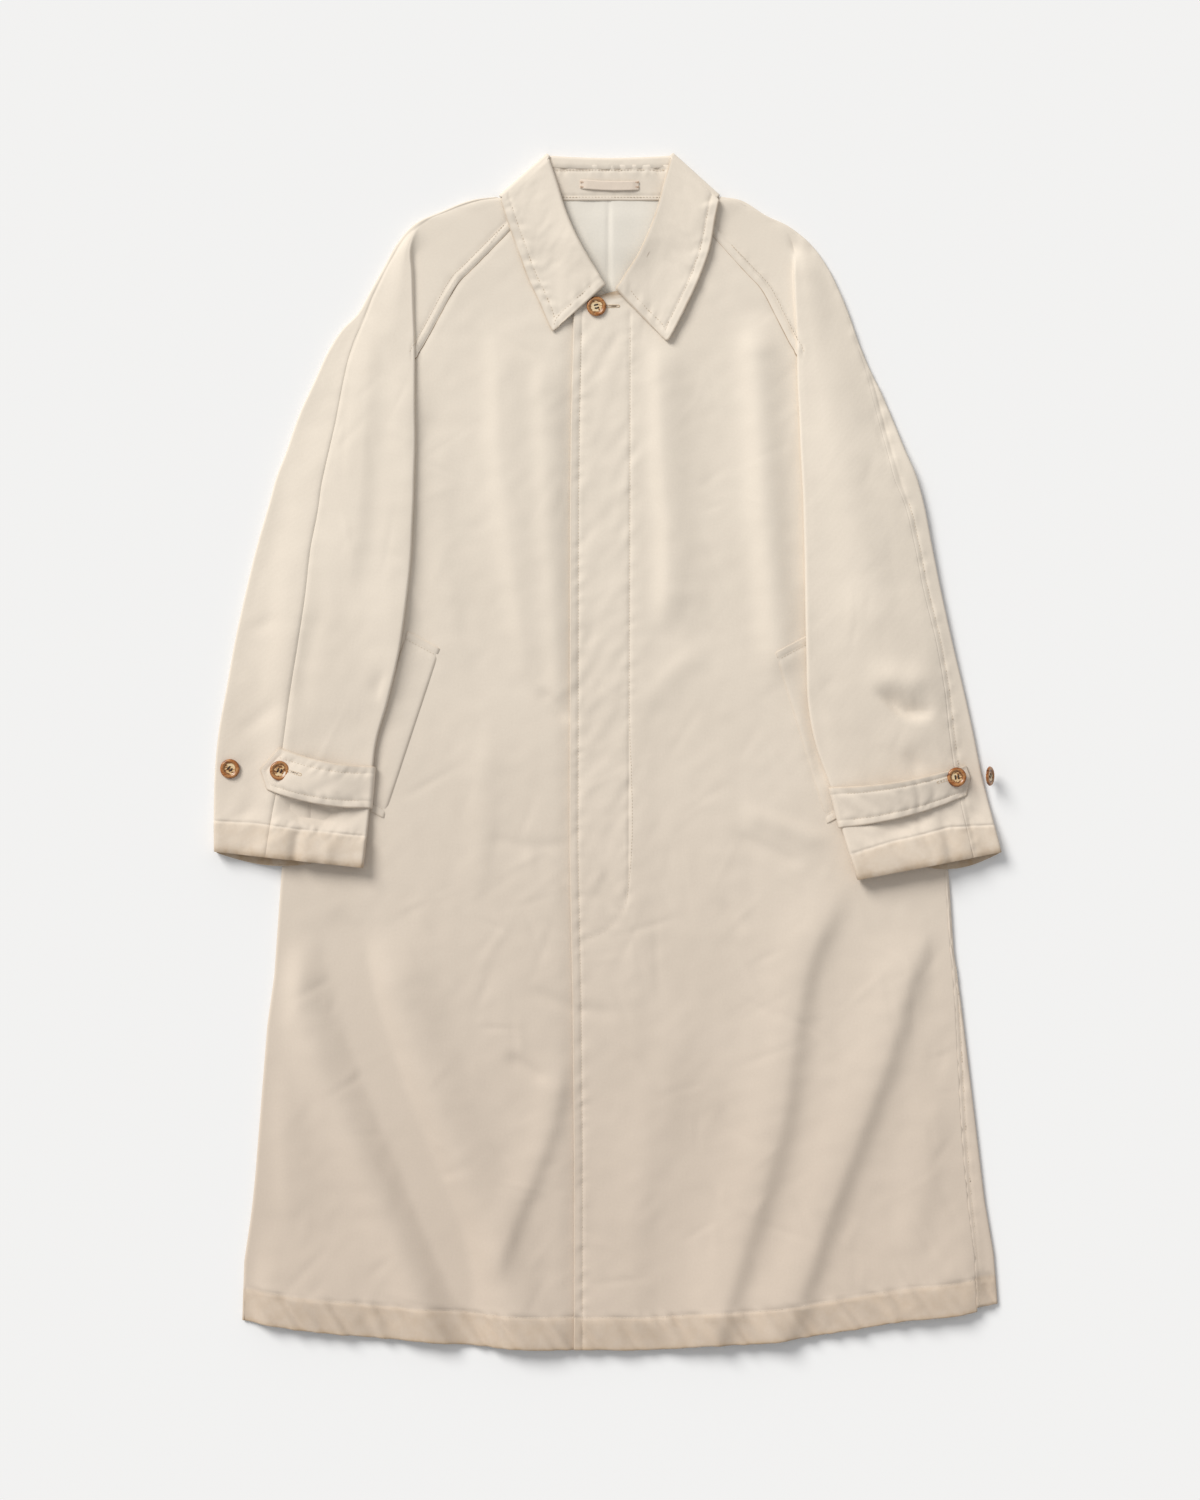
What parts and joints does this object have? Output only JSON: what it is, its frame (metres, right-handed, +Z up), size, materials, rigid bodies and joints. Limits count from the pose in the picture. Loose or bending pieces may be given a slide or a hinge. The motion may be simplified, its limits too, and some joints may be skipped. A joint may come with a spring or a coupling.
{
  "type": "balmacaan coat",
  "caption": "Long raglan-sleeved balmacaan coat laid flat on its back, fly front closed, turn-down collar, slanted welt pockets, buttoned cuff tabs.",
  "frame": {"origin": "on the surface that the coat lies on, at the middle of the box round the whole coat", "axes": "+Z up from the surface, +Y towards the collar, +X to the wearer's left"},
  "size_m": [0.7866, 1.194, 0.0175],
  "materials": {
    "gabardine": "cotton gabardine, matt with a faint sheen",
    "collar": "cotton gabardine, topstitched",
    "lining": "plain cotton lining, off-white",
    "loop": "woven cotton strap",
    "horn": "brown horn-look button, polished"
  },
  "bodies": {
    "root": {"back": "gabardine", "front_right": "gabardine", "front_left": "gabardine", "sleeve_right_front": "gabardine", "sleeve_right_back": "gabardine", "sleeve_left_front": "gabardine", "sleeve_left_back": "gabardine", "pocket_welt_right": "gabardine", "pocket_welt_left": "gabardine", "cuff_tab_right": "gabardine", "cuff_tab_left": "gabardine", "collar": "collar", "collar_stand": "collar", "back_lining": "lining", "hanger_loop": "loop", "button_front": "horn", "cuff_button_right_1": "horn", "cuff_button_right_2": "horn", "cuff_button_left_1": "horn", "cuff_button_left_2": "horn"}
  },
  "joints": []
}
